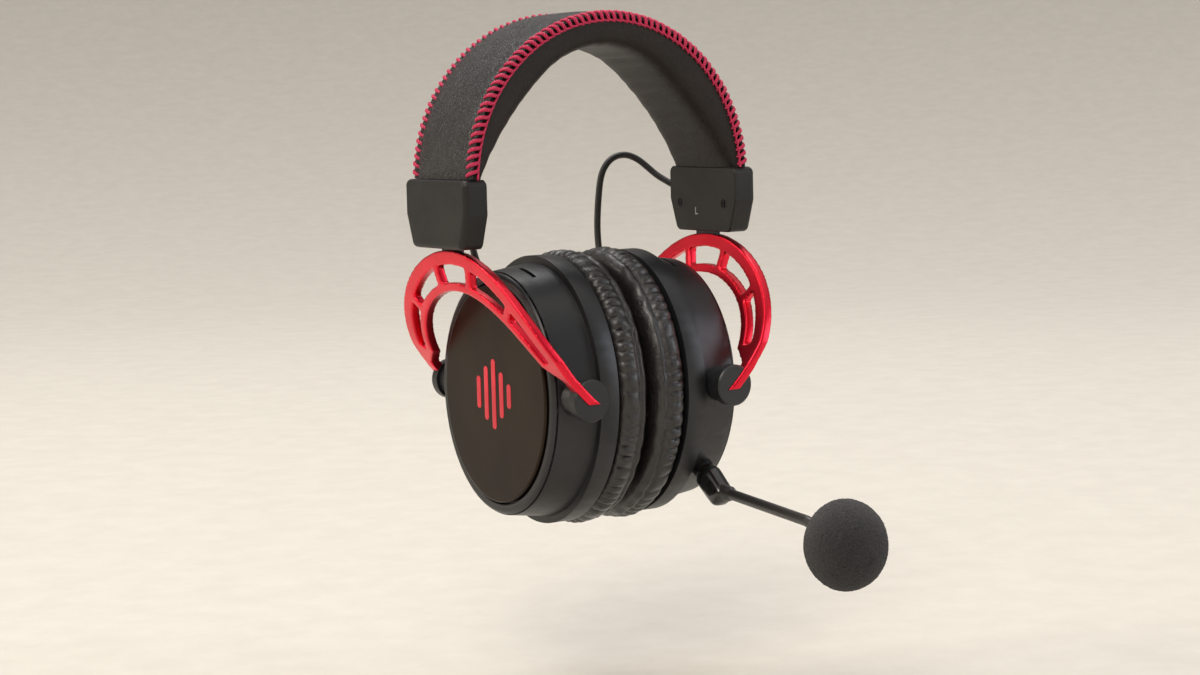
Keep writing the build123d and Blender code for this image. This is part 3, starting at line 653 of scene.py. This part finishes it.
# %% [markdown]
# ## Ear cushions
#
# A cushion is a sewn ring of soft leatherette round slow foam. The skin is cut longer than the
# outline it is sewn to, so it gathers into pleats on the side wall next to the cup, and a seam parts
# that wall from the smooth front roll. The ring's section is a rounded block carried round the ear
# opening; the pleats are ridges whose spacing wanders, strongest at the seam and fading on the roll.

# %% Cushions
CUP_Z = -126.0
CUSHION_X = (1.5, 15.2)
OUTER = (43.86, 51.0)
OPENING = (24.0, 31.0)


def cushion_grid(seed):
    """Ring of rounded sections from the ear opening to the outline, with gathers on its side wall.

    phi goes round the ear and t round the section; x is the depth, 1.5 mm at the wearer's side. The
    surface moves out along its normal by pleats, |sin| of a wandering phase to the power 0.55, times
    bell curves in x that set where the gathers, the long folds and the seam's groove lie.
    """
    phi = np.linspace(0, 2 * np.pi, 641)[:-1][:, None]
    t = np.linspace(0, 2 * np.pi, 81)[:-1][None, :]
    out, deep = power(np.cos(t), 0.62), power(np.sin(t), 0.66)
    x = (CUSHION_X[0] + CUSHION_X[1]) / 2 - (CUSHION_X[1] - CUSHION_X[0]) / 2 * deep
    share = 0.5 + 0.5 * out
    wall = np.clip(out, 0, 1) ** 1.5
    seam = np.exp(-((x - 6.0) / 0.8) ** 2) * wall
    gather = np.exp(-((x - 10.9) / 3.8) ** 2) * wall
    fade = np.exp(-((x - 4.0) / 2.2) ** 2) * wall
    wander = 66 * phi + 2.6 * np.sin(5 * phi + seed) + 1.8 * np.sin(11 * phi + 2 * seed) + 0.12 * x
    pleats = np.abs(np.sin(wander / 2)) ** 0.55 - 0.62
    long_folds = np.sin(31 * phi + 1.5 * np.sin(7 * phi + seed) + 0.35 * x)
    strength = 0.75 + 0.35 * np.sin(9 * phi + seed) * np.sin(4 * phi)
    push = gather * (1.7 * strength * pleats) + 0.32 * fade * long_folds * strength - 0.95 * seam
    inner_folds = np.clip(-out, 0, 1) ** 2 * 0.35 * np.sin(38 * phi + 2 * np.sin(6 * phi + seed))
    pull = 1.2 * np.exp(-((x - CUSHION_X[1]) / 1.1) ** 2) * wall
    ellipse = np.stack([np.cos(phi), np.sin(phi)], -1)
    outline, opening = ellipse * OUTER, ellipse * OPENING
    normal = ellipse / OUTER
    normal /= np.linalg.norm(normal, axis=-1, keepdims=True)
    yz = opening + (outline - opening) * share[..., None] + normal * (push - pull - inner_folds)[..., None]
    front = np.exp(-((x - CUSHION_X[0]) / 3.0) ** 2)
    x = x + 0.22 * front * ripple(phi * 14, share * 9, int(seed) + 20)
    return np.stack([np.broadcast_to(x, yz.shape[:2]), yz[..., 0], CUP_Z + yz[..., 1]], -1)


for side, sign in SIDES.items():
    ring = surface(side + "_gathered_cushion", cushion_grid(1.0 + sign) * [sign, 1, 1],
                   wrap=(True, True), caps=(False, False), lengths=(60, 300))
    dress(ring, cushion_skin, side + "_cup", (side + "_ear_cushion",))
    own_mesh(ring)

# %% [markdown]
# ## Hard parts with softened edges
#
# No moulded or forged edge is truly sharp: a radius of half a millimetre draws the thin bright line
# that the eye reads as solid material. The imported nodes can't be edited, so where that line matters a
# merged copy of the node's mesh takes its place. On the cups a Bevel modifier rounds the sharp edges.
# A yoke's windows leave rims too narrow for a bevel, which would clamp to nothing, so its copy is
# remeshed in small voxels and smoothed, and every edge melts by the same amount.

# %% Softened copies
BEVEL_WIDE = 0.6
YOKE_VOXEL = 0.42
YOKE_ROUNDS = 8


def merged_copy(node):
    """Copy of a node's mesh with its doubles merged and its flat faces joined."""
    shape = bmesh.new()
    shape.from_mesh(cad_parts[node].data)
    bmesh.ops.remove_doubles(shape, verts=shape.verts, dist=2e-6)
    bmesh.ops.dissolve_limit(shape, angle_limit=math.radians(0.3), verts=shape.verts, edges=shape.edges)
    mesh = bpy.data.meshes.new(node + "_rounded")
    shape.to_mesh(mesh)
    shape.free()
    mesh.shade_smooth()
    made = bpy.data.objects.new(node + "_rounded", mesh)
    scene.collection.objects.link(made)
    return made


def bevelled_copy(node):
    """Merged copy whose edges sharper than 40 degrees are rounded to BEVEL_WIDE mm."""
    made = merged_copy(node)
    bevel = made.modifiers.new("soft edges", "BEVEL")
    bevel.limit_method, bevel.angle_limit = "ANGLE", math.radians(40)
    bevel.width, bevel.segments, bevel.harden_normals = BEVEL_WIDE * MM, 3, True
    bevel.use_clamp_overlap = True
    return made


def melted_copy(node):
    """Merged copy remeshed in YOKE_VOXEL mm voxels, then smoothed, so that edges melt by about a voxel."""
    made = merged_copy(node)
    skin = made.modifiers.new("one skin", "REMESH")
    skin.mode, skin.voxel_size, skin.use_smooth_shade = "VOXEL", YOKE_VOXEL * MM, True
    ease = made.modifiers.new("soft edges", "SMOOTH")
    ease.factor, ease.iterations = 0.5, YOKE_ROUNDS
    return made


for side in SIDES:
    yoke = melted_copy(side + "_yoke")
    dress(yoke, red_metal, side + "_yoke", (side + "_yoke",))
    shell = bevelled_copy(side + "_cup_housing")
    dress(shell, matt_abs, side + "_cup", (side + "_cup_housing",))
    trim = bevelled_copy(side + "_cup_bezel")
    dress(trim, matt_abs, side + "_cup", (side + "_cup_bezel",))

# %% [markdown]
# ## Printed marks
#
# Each cap carries its side's letter on the face towards the head, so the wearer knows left from
# right. Each end plate carries a plain badge of five upright bars, like a sound level, printed in
# red. Letters are text turned into a mesh; the bars are grids whose rows shrink towards the middle
# of each rounded bar.

# %% Letters and bars
LETTER_TALL = 4.0
LETTER_PLACE = (54.98, 3.9, -63.6)
PLATE_FACE = 41.9
BAR_HALF = 1.35
for side, sign in SIDES.items():
    words = bpy.data.curves.new(side + "_letter", "FONT")
    words.body, words.size, words.extrude = side[0].upper(), LETTER_TALL * MM, 0.05 * MM
    words.align_x, words.align_y = "CENTER", "CENTER"
    holder = bpy.data.objects.new(side + "_letter_text", words)
    mesh = bpy.data.meshes.new_from_object(holder)
    bpy.data.objects.remove(holder)
    read_along = Vector((0, -sign, 0))
    mesh.transform(Matrix.Translation(Vector(LETTER_PLACE) * Vector((sign, 1, 1)) * MM) @ Matrix(
        (read_along, (0, 0, 1), (-sign, 0, 0))).transposed().to_4x4())
    skin = bmesh.new()
    skin.from_mesh(mesh)
    bmesh.ops.remove_doubles(skin, verts=skin.verts, dist=1e-6)
    bmesh.ops.recalc_face_normals(skin, faces=skin.faces)
    skin.to_mesh(mesh)
    skin.free()
    letter = bpy.data.objects.new(side + "_letter", mesh)
    scene.collection.objects.link(letter)
    dress(letter, mark_ink, "headband")

heights = np.array([9.0, 17.0, 26.0, 20.0, 12.0])
offsets = np.array([-10.4, -5.2, 0.0, 5.2, 10.4])
spin = np.linspace(0, 2 * np.pi, 49)[:-1]
shrink = np.array([0.0, 0.5, 0.92, 1.0, 1.0, 0.5, 0.0])[None, :, None]
rise = np.array([0.14, 0.14, 0.14, 0.10, -0.2, -0.2, -0.2])[None, :, None]
cap_y = BAR_HALF * np.cos(spin)[None, None] * np.maximum(shrink, 0.02)
reach = (heights / 2 - BAR_HALF)[:, None, None]
cap_z = (BAR_HALF * np.sin(spin)[None, None] + reach * np.sign(np.sin(spin) + 1e-9)
         ) * np.maximum(shrink, 0.02)
for side, sign in SIDES.items():
    badge_grid = np.stack(np.broadcast_arrays(sign * (PLATE_FACE + rise), offsets[:, None, None] + cap_y,
                                              CUP_Z + cap_z), -1)
    badge = surface(side + "_level_bars", badge_grid)
    dress(badge, red_ink, side + "_cup")

# %% [markdown]
# ## Microphone
#
# The boom is a bendable core in a satin rubber sleeve. It bends at two places, and its sleeve is two
# tubes that meet in the middle of the stiff stretch between them. A short ribbed collar holds it
# where it leaves the plug, a stubby gloss block with generous corners. The windscreen is a ball of
# open-cell foam with a round pocket for the capsule: rows run from the pocket's floor, round its lip
# and over the ball to the front, and every point is nudged a little so that the outline isn't glassy.

# %% Boom sleeve
BOOM_START = np.array([31.0, -43.0, -165.5])
BOOM_END = np.array([26.0, -96.0, -168.5])
CAPSULE_START = np.array([24.75, -113.35, -173.25])
NECK = np.array([-0.066062, -0.95523, -0.288395])
boom_way = (BOOM_END - BOOM_START) / np.linalg.norm(BOOM_END - BOOM_START)
corner = BOOM_END + 2.0 * boom_way
BENDS = (17.0, 36.0)
BOOM_R = 2.0


def boom_line(low, high, count):
    """Points along the straight boom and its neck, from low to high mm along it."""
    s = np.linspace(low, high, count)[:, None]
    turn = np.linalg.norm(corner - BOOM_START)
    neck = (CAPSULE_START - corner) / np.linalg.norm(CAPSULE_START - corner)
    return s[:, 0], BOOM_START + boom_way * np.minimum(s, turn) + neck * np.maximum(s - turn, 0)


end = np.linalg.norm(corner - BOOM_START) + np.linalg.norm(CAPSULE_START - corner) + 1.2
split = sum(BENDS) / 2
s, rear_line = boom_line(-3.5, split, 120)
# The collar stands 0.75 mm proud for the first 4.6 mm, with ribs 1.5 mm apart.
collar = 0.75 / (1 + np.exp((s - 4.6) * 3))
collar += 0.12 * np.sin(s * 2 * np.pi / 1.5) / (1 + np.exp((s - 4.4) * 4))
rear = surface("boom_sleeve_rear", tube_grid(rear_line, BOOM_R + collar, 28, (0, 0, 1)), lengths=(12.5, 30))
s, front_line = boom_line(split, end, 120)
swell = 0.5 / (1 + np.exp((end - 3.0 - s) * 2.5))
front = surface("boom_sleeve_front", tube_grid(front_line, BOOM_R + swell, 28, (0, 0, 1)),
                lengths=(12.5, 46))
for sleeve, stands, bodies, bend in (
        (rear, ("boom_base",), ("mic_plug", "mic_middle"), BENDS[0]),
        (front, ("boom_tip", "boom_middle"), ("mic_middle", "mic_head"), BENDS[1])):
    dress(sleeve, boom_skin, stands_for=stands)
    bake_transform(sleeve)

# %% Plug
PLUG_FOOT = np.array([31.3, -30.474, -159.199])
PLUG_WAY = np.array([0.0, -0.7759, -0.6309])
PLUG_LONG, PLUG_HALF = 15.3, 4.6
plug_deep = np.cross(PLUG_WAY, (1, 0, 0))
spin = np.linspace(0, 2 * np.pi, 73)[:-1][None, :, None]
s = np.linspace(0.002, 0.998, 60)[:, None, None]
# A rounded square section, exponent 0.7, that closes over both ends and tapers a little outwards.
half = PLUG_HALF * (1 - np.abs(2 * s - 1) ** 8) ** 0.45 * (1.02 - 0.1 * s)
plug = surface("rounded_plug", PLUG_FOOT + s * PLUG_LONG * PLUG_WAY + half * (
    power(np.cos(spin), 0.7) * np.array([1, 0, 0]) + power(np.sin(spin), 0.7) * plug_deep))
dress(plug, gloss_abs, "mic_plug", ("mic_plug",))

# %% Windscreen
BALL = np.array([24.0, -121.3, -173.7])
BALL_HALF = (14.6, 16.0)
POCKET_R, MOUTH_R = 5.15, 5.4
side_axis = np.cross(NECK, (0, 0, 1))
side_axis /= np.linalg.norm(side_axis)
top_axis = np.cross(side_axis, NECK)
spin = np.linspace(0, 2 * np.pi, 181)[:-1][None, :]
mouth = math.asin(MOUTH_R / BALL_HALF[0])
turns = np.linspace(mouth, math.pi - 0.01, 130)[:, None]
ray = (-np.cos(turns)[..., None] * NECK + np.sin(turns)[..., None] * (
    np.cos(spin)[..., None] * side_axis + np.sin(spin)[..., None] * top_axis))
reach = 1 / np.sqrt((ray[..., 0] ** 2 + ray[..., 1] ** 2) / BALL_HALF[0] ** 2
                    + ray[..., 2] ** 2 / BALL_HALF[1] ** 2)
rng = np.random.default_rng(7)
grit = rng.normal(0, 0.09, reach.shape) * np.sin(turns) ** 0.5
lumps = 0.12 * ripple(turns * 9, np.cos(spin) * 5 + np.sin(spin) * 3, 8)
ball = BALL + ray * (reach + grit + lumps)[..., None]
depth = np.linspace(15.0, 0.5, 12)[:, None, None]
round_pocket = POCKET_R * (np.cos(spin)[..., None] * side_axis + np.sin(spin)[..., None] * top_axis)
mouth_centre = BALL - NECK * BALL_HALF[0] * math.cos(mouth)
pocket = mouth_centre + NECK * depth + round_pocket
windscreen = surface("foam_windscreen", np.concatenate([pocket, ball]), lengths=(90, 60))
dress(windscreen, foam_black, "foam_ball", ("windscreen",))

# %% [markdown]
# ## Cables take their jacket
#
# With every body in place, each cable half gets its jacket material.

# %% Cable jackets
for cable, side, half, sign in cables:
    dress(cable, jacket)
    if half == "upper":
        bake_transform(cable)
    else:
        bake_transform(cable)

# %% [markdown]
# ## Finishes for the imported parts
#
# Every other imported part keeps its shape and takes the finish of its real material.

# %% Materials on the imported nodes
FINISHES = {
    "cap_outer": cap_abs, "cap_inner": cap_abs, "cap_screws": black_screw, "cap_grommet": jacket,
    "slider_strip": strip_steel, "pivot_discs": matt_abs, "pivot_pins": spring, "cup_plate": plate_paint,
    "scrim": scrim_cloth, "baffle": matt_abs, "baffle_screws": black_screw, "driver_basket": matt_abs,
    "driver_magnet": magnet, "driver_cone": film, "cup_grommet": jacket,
}
ALONE = {
    "headband_spring": spring, "slider_guides": acetal, "detent_leaves": spring, "mic_socket": matt_abs,
    "cable_jack": gloss_abs, "circuit_board": circuit, "mic_plug": gloss_abs, "mic_plug_pin": gold,
    "capsule_housing": matt_abs, "mic_capsule": magnet,
}
for name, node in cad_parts.items():
    finish = ALONE.get(name) or FINISHES.get(name.partition("_")[2]) or matt_abs
    node.data.materials.clear()
    node.data.materials.append(finish)
